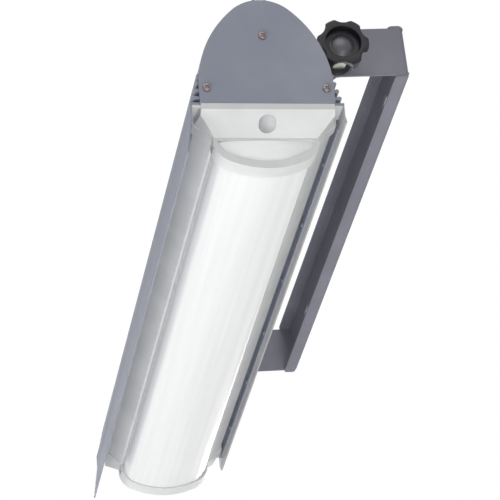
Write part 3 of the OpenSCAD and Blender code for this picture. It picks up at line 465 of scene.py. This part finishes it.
@dataclass
class SubAssembly:
    """Common part of every sub-assembly: the finishes and the body that its pieces ride on."""

    finishes: Finishes
    body: Body = Body.HEAD

    def dress(self, names: Iterable[str], material: bpy.types.Material) -> None:
        """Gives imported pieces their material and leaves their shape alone.

        Args:
            names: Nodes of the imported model.
            material: Finish that they wear.
        """
        for name in names:
            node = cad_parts[name]
            node.data.materials.clear()
            node.data.materials.append(material)
            LOG.info("dressed %s in %s", name, material.name)

    def piece_from(self, shape: bmesh.types.BMesh, name: str,
                   material: bpy.types.Material) -> bpy.types.Object:
        """Turns a mesh under construction into a piece that rides on this body.

        Args:
            shape: Mesh under construction, which is used up.
            name: Name of the piece.
            material: Finish that it wears.

        Returns:
            The new piece.
        """
        mesh = bpy.data.meshes.new(name)
        shape.to_mesh(mesh)
        shape.free()
        mesh.materials.append(material)
        piece = bpy.data.objects.new(name, mesh)
        bpy.context.scene.collection.objects.link(piece)
        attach(piece, self.body.value)
        LOG.info("built %s on %s", name, self.body.value)
        return piece

    @staticmethod
    def loft(shape: bmesh.types.BMesh, loops: Sequence[Sequence[bmesh.types.BMVert]]) -> None:
        """Joins closed rings of corners with faces, each ring to the next.

        Args:
            shape: Mesh under construction.
            loops: Rings in order, all with the same number of corners.
        """
        for ring, following in zip(loops, loops[1:]):
            for k in range(len(ring)):
                n = (k + 1) % len(ring)
                shape.faces.new((ring[k], ring[n], following[n], following[k]))

    @staticmethod
    def smooth(piece: bpy.types.Object, angle: float) -> None:
        """Shades a piece smooth, with creases above an angle.

        Args:
            piece: Piece to shade.
            angle: Crease angle in degrees.
        """
        piece.data.shade_smooth()
        piece.data.set_sharp_from_angle(angle=math.radians(angle))


@dataclass
class WallBracket(SubAssembly):
    """Folded steel bracket with its outer friction washers."""

    body: Body = Body.BRACKET

    def build(self) -> None:
        """Dresses the bracket and its washers."""
        self.dress(["wall_bracket"], self.finishes.bracket)
        self.dress(["near_outer_washer", "far_outer_washer"], self.finishes.washer)


@dataclass
class ClampKnob(SubAssembly):
    """Star knob with its hexagon spacer and stud."""

    end: End = End.NEAR
    radius: float = 27.0 * MM
    thickness: float = 16.0 * MM
    lobes: int = 6
    turned: float = math.radians(5.0)
    valley_radius: float = 23.6 * MM
    cutter_front: float = 16.0 * MM
    cutter_back: float = 12.0 * MM
    valley_slope: float = math.radians(25.0)
    lobe_softness: float = 0.5 * MM
    rim_radius: float = 1.8 * MM
    recess_radius: float = 18.2 * MM
    recess_depth: float = 8.0 * MM
    lip_radius: float = 0.7 * MM
    back_radius: float = 7.0 * MM
    dome_radius: float = 12.5 * MM
    dome_height: float = 4.0 * MM
    dome_foot: float = 0.5 * MM
    around: int = 432
    fillet_steps: int = 6
    wall_steps: int = 8
    dome_steps: int = 10
    knob_crease: float = 50.0
    spacer_flats: float = 21.0 * MM
    spacer_sides: int = 6
    chamfer_start: float = 1.02
    chamfer_slope: float = math.radians(30.0)
    chamfer_steps: int = 8
    spacer_around: int = 180
    spacer_crease: float = 20.0

    def build(self) -> None:
        """Builds the knob and dresses what is behind it."""
        self.body = Body.NEAR_KNOB if self.end is End.NEAR else Body.FAR_KNOB
        self.build_knob()
        self.build_spacer()
        self.dress([self.end.prefix + "clamp_stud"], self.finishes.zinc)

    def outline(self, angle: float, depth: float) -> float:
        """Radius of the lobed outline, whose valleys lean in towards the back as their cutter did.

        Args:
            angle: Direction from the axis in radians.
            depth: Distance behind the front face.

        Returns:
            Distance from the axis to the rim.
        """
        step = 2 * math.pi / self.lobes
        off = (angle - self.turned + step / 2) % step - step / 2
        share = depth / self.thickness
        wide = self.cutter_front + (self.cutter_back - self.cutter_front) * share
        deep = wide / math.cos(self.valley_slope)
        centre = self.valley_radius - depth * math.tan(self.valley_slope) + deep
        # The leaning round cutter leaves an ellipse at each depth; its near side is the valley.
        a = (math.cos(off) / deep) ** 2 + (math.sin(off) / wide) ** 2
        b = centre * math.cos(off) / deep ** 2
        c = (centre / deep) ** 2 - 1
        valley = (b - math.sqrt(max(b * b - a * c, 0.0))) / a
        # A soft minimum rounds the corner where the valley meets the lobe.
        soft = self.lobe_softness
        return -soft * math.log(math.exp(-self.radius / soft) + math.exp(-valley / soft))

    def profile(self) -> list[tuple[float, float, float | None]]:
        """Rings of the knob from the middle of its back over the rim to the edge of its dome.

        Returns:
            For each ring its depth behind the front face, how far it lies inside the outline, and the
            circle radius that takes over from the outline where it is given.
        """
        fillet, lip = self.rim_radius, self.lip_radius
        back, floor = self.thickness, self.recess_depth
        rings: list[tuple[float, float, float | None]] = [
            (back, 0.0, self.back_radius), (back, fillet, None)]
        turns = [math.pi / 2 * i / self.fillet_steps for i in range(1, self.fillet_steps + 1)]
        rings += [(back - fillet * (1 - math.cos(t)), fillet * (1 - math.sin(t)), None) for t in turns]
        span = back - 2 * fillet
        rings += [(back - fillet - span * i / self.wall_steps, 0.0, None)
                  for i in range(1, self.wall_steps)]
        rings += [(fillet * (1 - math.sin(t)), fillet * (1 - math.cos(t)), None) for t in [0.0] + turns]
        rings.append((0.0, 0.0, self.recess_radius + lip))
        rings += [(lip * (1 - math.cos(t)), 0.0, self.recess_radius + lip * (1 - math.sin(t)))
                  for t in turns]
        rings += [(floor - lip * math.cos(t), 0.0, self.recess_radius - lip * (1 - math.sin(t)))
                  for t in reversed([0.0] + turns)]
        rings.append((floor, 0.0, self.dome_radius + self.dome_foot))
        ball = (self.dome_radius ** 2 + self.dome_height ** 2) / (2 * self.dome_height)
        for i in range(self.dome_steps):
            r = self.dome_radius * (1 - i / self.dome_steps)
            rise = math.sqrt(ball ** 2 - r ** 2) - (ball - self.dome_height)
            rings.append((floor - rise, 0.0, r))
        return rings

    def build_knob(self) -> None:
        """Lofts the knob's rings and closes it at the back and at the top of its dome."""
        name = self.end.prefix + "knob"
        low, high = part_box(name)
        axis_x, axis_z = (low.x + high.x) / 2, (low.z + high.z) / 2
        sign = self.end.value
        front = high.y if self.end is End.FAR else low.y
        shape = bmesh.new()
        loops = []
        for depth, inset, circle in self.profile():
            loop = []
            for k in range(self.around):
                angle = 2 * math.pi * k / self.around
                r = circle if circle is not None else self.outline(angle, depth) - inset
                loop.append(shape.verts.new((axis_x + r * math.sin(angle), front - sign * depth,
                                             axis_z + r * math.cos(angle))))
            loops.append(loop)
        self.loft(shape, loops)
        shape.faces.new(loops[0])
        tip = shape.verts.new((axis_x, front - sign * (self.recess_depth - self.dome_height), axis_z))
        for k in range(self.around):
            shape.faces.new((loops[-1][k], loops[-1][(k + 1) % self.around], tip))
        # Only the dome wears the second finish, whose lighter grey is a painted sheen.
        for face in shape.faces:
            middle = face.calc_center_median()
            reach = math.hypot(middle.x - axis_x, middle.z - axis_z)
            face.material_index = int(reach < self.dome_radius and abs(middle.y - front) < self.recess_depth)
        bmesh.ops.recalc_face_normals(shape, faces=shape.faces)
        piece = self.piece_from(shape, name + "_moulding", self.finishes.knob)
        # The dome's finish is a lighter grey that paints in a sheen.
        piece.data.materials.append(self.finishes.knob_dome_sheen)
        self.smooth(piece, self.knob_crease)
        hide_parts(name)

    def build_spacer(self) -> None:
        """Builds the hexagon spacer with the turned chamfers of a nut at both ends."""
        name = self.end.prefix + "hex_spacer"
        low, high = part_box(name)
        axis_x, axis_z = (low.x + high.x) / 2, (low.z + high.z) / 2
        half_side = math.pi / self.spacer_sides
        flat = self.spacer_flats / 2
        inner = flat * self.chamfer_start
        reach = flat / math.cos(half_side) - inner
        # Each row of a chamfer has the radius that it is turned to and its distance from the end.
        rows = []
        for i in range(self.chamfer_steps + 1):
            out = reach * i / self.chamfer_steps
            rows.append((inner + out, out * math.tan(self.chamfer_slope)))
        rings = [(r, low.y + d) for r, d in rows] + [(r, high.y - d) for r, d in reversed(rows)]
        shape = bmesh.new()
        loops = []
        for limit, y in rings:
            loop = []
            for k in range(self.spacer_around):
                angle = 2 * math.pi * k / self.spacer_around
                off = angle % (2 * half_side) - half_side
                r = min(flat / math.cos(off), limit)
                loop.append(shape.verts.new((axis_x + r * math.cos(angle), y, axis_z + r * math.sin(angle))))
            loops.append(loop)
        self.loft(shape, loops)
        shape.faces.new(loops[0])
        shape.faces.new(loops[-1])
        bmesh.ops.recalc_face_normals(shape, faces=shape.faces)
        piece = self.piece_from(shape, name + "_bar", self.finishes.spacer)
        self.smooth(piece, self.spacer_crease)
        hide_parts(name)


@dataclass
class Housing(SubAssembly):
    """Extruded housing with its end plates, gaskets, screws and pivot lugs."""

    def build(self) -> None:
        """Dresses the housing and everything screwed to it."""
        self.dress(["housing_extrusion", "near_end_plate", "far_end_plate"], self.finishes.housing)
        self.dress(["near_end_gasket", "far_end_gasket"], self.finishes.rubber)
        self.dress(["near_plate_screws", "far_plate_screws"], self.finishes.stainless)
        self.dress(["near_pivot_lug", "far_pivot_lug"], self.finishes.lug)
        self.dress(["near_inner_washer", "far_inner_washer"], self.finishes.washer)
        self.dress(["near_lug_screws", "far_lug_screws", "near_slide_nut", "far_slide_nut"],
                   self.finishes.zinc)


@dataclass
class Optic(SubAssembly):
    """Tray, end caps and opal diffuser."""

    bowl_reach: float = 14.0 * MM
    bowl_along: float = 446.5 * MM
    bowl_height: float = -115.5 * MM

    def build(self) -> None:
        """Dresses the tray, the caps and the diffuser."""
        self.dress(["tray", "near_end_cap", "far_end_cap"], self.finishes.tray)
        self.dress(["tray_gasket"], self.finishes.rubber)
        self.dress(["tray_screws"], self.finishes.zinc)
        self.dress(["diffuser"], self.finishes.opal)
        # The diffuser's ends wear the whiter opal copy, a painted brightening of their light.
        self.dress(["near_diffuser_end", "far_diffuser_end"], self.finishes.window)
        for end in End:
            self.shade_and_grain_bowl(end)

    def shade_and_grain_bowl(self, end: End) -> None:
        """Gives the thumb bowl of one cap the coarse grain of its tool insert and a darker grey of painted
        shade.

        Args:
            end: End of the lamp that the cap closes.
        """
        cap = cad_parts[end.prefix + "end_cap"]
        low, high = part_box(cap.name)
        bowl = Vector(((low.x + high.x) / 2, end.value * self.bowl_along, self.bowl_height))
        # The bowl's faces get the darker material, which paints shade into the hollow.
        cap.data.materials.append(self.finishes.bowl)
        reach = [(cap.matrix_world @ corner.co - bowl).length for corner in cap.data.vertices]
        for face in cap.data.polygons:
            if max(reach[corner] for corner in face.vertices) < self.bowl_reach:
                face.material_index = len(cap.data.materials) - 1


@dataclass
class Visors(SubAssembly):
    """Sheet visors along both sides with their rivets."""

    def build(self) -> None:
        """Dresses the visors and their rivets."""
        self.dress(["front_visor"], self.finishes.visor)
        # The rear visor's paler neutral grey is painted light from the diffuser.
        self.dress(["rear_visor"], self.finishes.diffuser_lit_visor)
        self.dress(["front_visor_rivets", "rear_visor_rivets"], self.finishes.housing)


@dataclass
class LightSource(SubAssembly):
    """Gear plate, driver, terminals and LED boards inside the housing."""

    def build(self) -> None:
        """Dresses the inner pieces."""
        self.dress(["gear_plate"], self.finishes.gear_steel)
        self.dress(["led_driver", "terminal_block"], self.finishes.white_plastic)
        self.dress(["driver_screws", "board_screws"], self.finishes.zinc)
        self.dress(["near_led_board", "far_led_board"], self.finishes.board)
        self.dress(["near_emitters", "far_emitters"], self.finishes.phosphor)


@dataclass
class CableEntry(SubAssembly):
    """Cable gland in the far end plate."""

    def build(self) -> None:
        """Dresses the gland's pieces."""
        self.dress(["cable_gland", "gland_nut", "gland_locknut"], self.finishes.washer)
        self.dress(["gland_seal"], self.finishes.rubber)


@dataclass
class Studio:
    """Pale floor, white surroundings, soft lamps and the camera."""

    floor_drop: float = 7.0
    floor_size: float = 60.0
    floor_glow: float = 0.8
    mottle_mm: float = 900.0
    world_strength: float = 0.10
    lamp_distance: float = 4.0
    lamp_size: float = 2.4
    narrow_lamp_size: float = 0.9
    lens_mm: float = 230.4
    sensor_mm: float = 36.0
    far_clip: float = 200.0
    aim: Vector = field(default_factory=lambda: Vector((-0.15, 0.0, -0.06)))
    eye: Vector = field(default_factory=lambda: Vector((-0.7511, -3.1839, -1.5705)))
    ahead: Vector = field(default_factory=lambda: Vector((0.1776, 0.887, 0.4262)))
    right: Vector = field(default_factory=lambda: Vector((0.9834, -0.1434, -0.1115)))

    def build(self) -> None:
        """Sets up the floor, the world, the lamps and the camera."""
        self.build_floor()
        self.build_world()
        self.build_lamps()
        self.build_camera()
        bpy.context.scene.view_settings.view_transform = "Standard"

    def build_floor(self) -> None:
        """Lays a large pale floor well below the lamp."""
        half = self.floor_size / 2
        mesh = bpy.data.meshes.new("floor")
        mesh.from_pydata([(-half, -half, 0), (half, -half, 0), (half, half, 0), (-half, half, 0)], [],
                         [(0, 1, 2, 3)])
        floor = bpy.data.objects.new("floor", mesh)
        floor.location.z = -self.floor_drop
        bpy.context.scene.collection.objects.link(floor)
        material, tree, shader = start_material("pale_floor", {"Roughness": 0.9})
        place = add(tree, "ShaderNodeTexCoord").outputs["Object"]
        mottle = add(tree, "ShaderNodeTexNoise", {"Vector": place, "Scale": per_mm(self.mottle_mm)})
        pale = ramp(tree, mottle.outputs["Fac"], WIDE_SPAN, "#f4f4f4", "#f7f7f7")
        tree.links.new(pale, shader.inputs["Base Color"])
        tree.links.new(pale, shader.inputs["Emission Color"])
        # The floor is white to the eye and in gloss, and lights nothing by itself.
        glow = add(tree, "ShaderNodeMapRange", {
            "Value": self.seen_directly(tree), "To Max": self.floor_glow})
        tree.links.new(glow.outputs["Result"], shader.inputs["Emission Strength"])
        mesh.materials.append(material)

    @staticmethod
    def seen_directly(tree: bpy.types.NodeTree) -> bpy.types.NodeSocket:
        """Tells rays of the eye, of gloss and of clear matter from rays that carry light.

        Args:
            tree: Node tree that takes the nodes.

        Returns:
            Socket that is one for such rays and zero for all others.
        """
        path = add(tree, "ShaderNodeLightPath")
        seen = add(tree, "ShaderNodeMath", {0: path.outputs["Is Camera Ray"],
                                            1: path.outputs["Is Glossy Ray"]}, operation="MAXIMUM")
        seen = add(tree, "ShaderNodeMath", {0: seen.outputs["Value"],
                                            1: path.outputs["Is Transmission Ray"]}, operation="MAXIMUM")
        return seen.outputs["Value"]

    def build_world(self) -> None:
        """Surrounds the scene with even light that looks white to the eye and in reflections."""
        world = bpy.data.worlds.new("studio")
        world.use_nodes = True
        tree = world.node_tree
        tree.nodes.clear()
        strength = add(tree, "ShaderNodeMapRange", {
            "Value": self.seen_directly(tree), "To Min": self.world_strength, "To Max": 1.0})
        sky = add(tree, "ShaderNodeBackground", {
            "Color": (1.0, 1.0, 1.0, 1.0), "Strength": strength.outputs["Result"]})
        add(tree, "ShaderNodeOutputWorld", {"Surface": sky.outputs["Background"]})
        bpy.context.scene.world = world

    def build_lamps(self) -> None:
        """Hangs soft boxes all round, each as strong as the photograph's light from its side."""
        self.soft_box("below", (-0.1, -0.25, -1.0), 18.0)
        self.soft_box("front_below", (-0.1, -0.75, -0.75), 40.0)
        self.soft_box("below_left", (-0.75, -0.25, -0.75), 64.0)
        self.soft_box("below_right", (0.5, -0.2, -0.85), 8.0)
        self.soft_box("below_back", (-0.1, 0.6, -0.8), 30.0)
        self.soft_box("left", (-1.0, -0.15, -0.35), 24.0)
        self.soft_box("front", (0.1, -0.92, -0.36), 15.0, self.narrow_lamp_size)
        self.soft_box("front_above", (0.0, -0.8, 0.6), 38.0)
        self.soft_box("above", (-0.1, 0.1, 1.0), 60.0)
        self.soft_box("wall_side", (1.0, 0.2, 0.2), 45.0)
        self.soft_box("far_end", (0.1, 1.0, 0.15), 60.0)

    def soft_box(self, name: str, direction: Sequence[float], power: float,
                 size: float | None = None) -> None:
        """Adds one square lamp that faces the object and isn't seen itself.

        Args:
            name: Name of the lamp.
            direction: Direction from the object to the lamp.
            power: Its power in watts.
            size: Edge length of its face, where it isn't the usual one.
        """
        data = bpy.data.lights.new(name, "AREA")
        data.size = size or self.lamp_size
        data.energy = power
        lamp = bpy.data.objects.new(name, data)
        away = Vector(direction).normalized()
        lamp.location = self.aim + away * self.lamp_distance
        lamp.rotation_euler = (-away).to_track_quat("-Z", "Y").to_euler()
        lamp.visible_camera = False
        bpy.context.scene.collection.objects.link(lamp)

    def build_camera(self) -> None:
        """Places the camera at the photograph's viewing angle."""
        data = bpy.data.cameras.new("camera")
        data.lens = self.lens_mm
        data.sensor_width = self.sensor_mm
        data.clip_end = self.far_clip
        camera = bpy.data.objects.new("camera", data)
        ahead = self.ahead.normalized()
        right = (self.right - ahead * self.right.dot(ahead)).normalized()
        up = right.cross(ahead)
        turn = Matrix((right, up, -ahead)).transposed().to_4x4()
        camera.matrix_world = Matrix.Translation(self.eye) @ turn
        bpy.context.scene.collection.objects.link(camera)
        bpy.context.scene.camera = camera


def main() -> None:
    """Builds the lamp's looks and the studio in order."""
    logging.basicConfig(level=logging.INFO, format="%(name)s: %(message)s")
    Studio().build()
    finishes = Finishes()
    assemblies: list[SubAssembly] = [
        WallBracket(finishes),
        ClampKnob(finishes, end=End.NEAR),
        ClampKnob(finishes, end=End.FAR),
        Housing(finishes),
        Optic(finishes),
        Visors(finishes),
        LightSource(finishes),
        CableEntry(finishes),
    ]
    for assembly in assemblies:
        assembly.build()
        LOG.info("%s is done", type(assembly).__name__)


if __name__ == "__main__":
    main()
